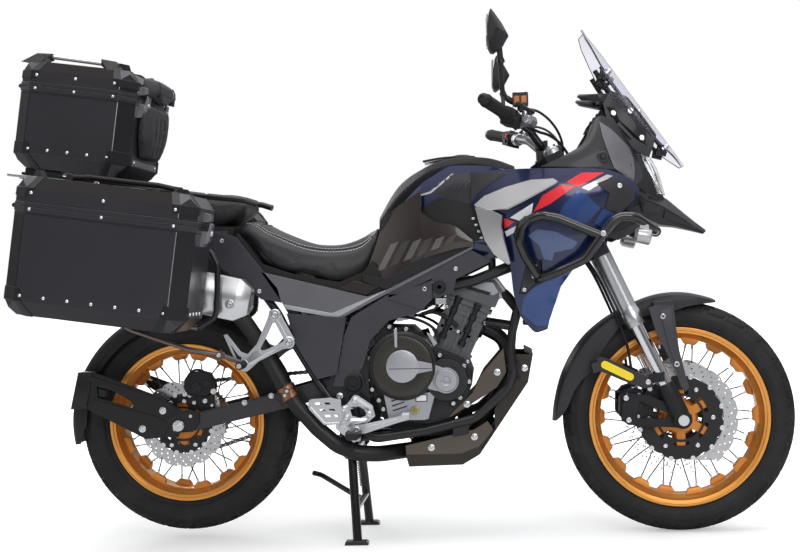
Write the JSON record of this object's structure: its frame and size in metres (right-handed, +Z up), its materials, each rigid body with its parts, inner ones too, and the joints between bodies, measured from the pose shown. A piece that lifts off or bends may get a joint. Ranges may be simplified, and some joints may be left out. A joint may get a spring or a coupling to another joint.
{
  "type": "adventure motorcycle",
  "caption": "Adventure motorcycle on its centre stand, with wire wheels, tall screen, crash bars and hard luggage whose lids open; wheels spin, fork steers and stands swing.",
  "frame": {"origin": "on the ground, under the middle of the machine's length and width", "axes": "+X forward, +Y to the rider's left, +Z up"},
  "size_m": [2.2175, 1.03, 1.446],
  "materials": {
    "bar_black": "satin",
    "bar_gloss": "gloss",
    "bash_bronze": "satin",
    "caliper_black": "satin",
    "case_black": "satin",
    "chain_steel": "satin",
    "cowl_grey": "satin",
    "dark_plastic": "matte",
    "disc_steel": "satin",
    "engine_grey": "satin",
    "fork_black": "satin",
    "fork_grey": "satin",
    "frame_black": "satin",
    "gold_rim": "satin",
    "grip_rubber": "matte",
    "hose_rubber": "satin",
    "lamp_glass": "gloss",
    "navy_paint": "gloss",
    "pad_grey": "matte",
    "panel_grey": "satin",
    "peg_alloy": "satin",
    "pipe_black": "matte",
    "rack_steel": "satin",
    "radiator_black": "matte",
    "screen_tint": "gloss",
    "seat_vinyl": "matte",
    "silencer_steel": "satin",
    "spring_steel": "satin",
    "stand_black": "satin",
    "tail_black": "matte",
    "tyre_rubber": "matte"
  },
  "bodies": {
    "chassis": {"chain": "chain_steel", "rear_axle": "disc_steel", "main_frame": "frame_black", "rear_subframe": "frame_black", "swingarm": "fork_black", "rear_damper": "spring_steel", "rear_caliper": "caliper_black", "rear_mudguard": "dark_plastic", "engine": "engine_grey", "radiator": "radiator_black", "bash_plate": "bash_bronze", "exhaust_pipes": "pipe_black", "silencer": "silencer_steel", "fuel_tank": "navy_paint", "rider_seat": "seat_vinyl", "pillion_seat": "seat_vinyl", "tail_body": "tail_black", "side_panels": "panel_grey", "side_fairings": "navy_paint", "nose_fairing": "cowl_grey", "headlamp": "lamp_glass", "instruments": "tail_black", "windscreen": "screen_tint", "crash_bars": "bar_gloss", "foot_pegs": "peg_alloy", "side_case_right": "case_black", "side_case_left": "case_black", "top_case": "case_black", "backrest_lower": "pad_grey", "luggage_rack": "rack_steel", "case_carriers": "rack_steel"},
    "steering": {"fork_clamps": "fork_black", "fork_legs": "fork_grey", "front_calipers": "caliper_black", "front_mudguard": "dark_plastic", "handlebar": "bar_black", "grips": "grip_rubber", "bar_controls": "bar_black", "mirrors": "dark_plastic", "front_axle": "disc_steel", "brake_hoses": "hose_rubber", "control_cables": "hose_rubber"},
    "front_wheel": {"front_tyre": "tyre_rubber", "front_rim": "gold_rim", "front_brake_discs": "disc_steel"},
    "rear_wheel": {"rear_tyre": "tyre_rubber", "rear_rim": "gold_rim", "rear_brake_disc": "disc_steel", "rear_sprocket": "disc_steel"},
    "centre_stand_body": {"centre_stand": "stand_black"},
    "side_stand_body": {"side_stand": "stand_black"},
    "right_case_lid": {"side_case_right_lid": "case_black"},
    "left_case_lid": {"side_case_left_lid": "case_black"},
    "top_case_lid_body": {"top_case_lid": "case_black", "backrest_upper": "pad_grey"}
  },
  "joints": [
    {"name": "front_wheel_spin", "type": "hinge", "parent": "steering", "child": "front_wheel", "pos_m": [0.77945, 0, 0.3293], "axis": [0, 1, 0], "continuous": true},
    {"name": "rear_wheel_spin", "type": "hinge", "parent": "chassis", "child": "rear_wheel", "pos_m": [-0.64655, 0, 0.345], "axis": [0, 1, 0], "continuous": true},
    {"name": "steering", "type": "hinge", "parent": "chassis", "child": "steering", "pos_m": [0.75022, 0, 0.31628], "axis": [-0.4067, 0, 0.9135], "range_deg": [-35, 35]},
    {"name": "centre_stand_fold", "type": "hinge", "parent": "chassis", "child": "centre_stand_body", "pos_m": [-0.15555, 0, 0.262], "axis": [0, 1, 0], "range_deg": [0, 82]},
    {"name": "side_stand_swing", "type": "hinge", "parent": "chassis", "child": "side_stand_body", "pos_m": [0.02945, 0.188, 0.284], "axis": [0, -0.9055, -0.4243], "range_deg": [0, 100]},
    {"name": "right_lid_hinge", "type": "hinge", "parent": "chassis", "child": "right_case_lid", "pos_m": [-0.98882, -0.4, 0.97271], "axis": [0, -1, 0], "range_deg": [0, 85]},
    {"name": "left_lid_hinge", "type": "hinge", "parent": "chassis", "child": "left_case_lid", "pos_m": [-0.98882, 0.4, 0.97271], "axis": [0, -1, 0], "range_deg": [0, 85]},
    {"name": "top_lid_hinge", "type": "hinge", "parent": "chassis", "child": "top_case_lid_body", "pos_m": [-1.08608, 0, 1.33938], "axis": [0, -1, 0], "range_deg": [0, 85]}
  ]
}
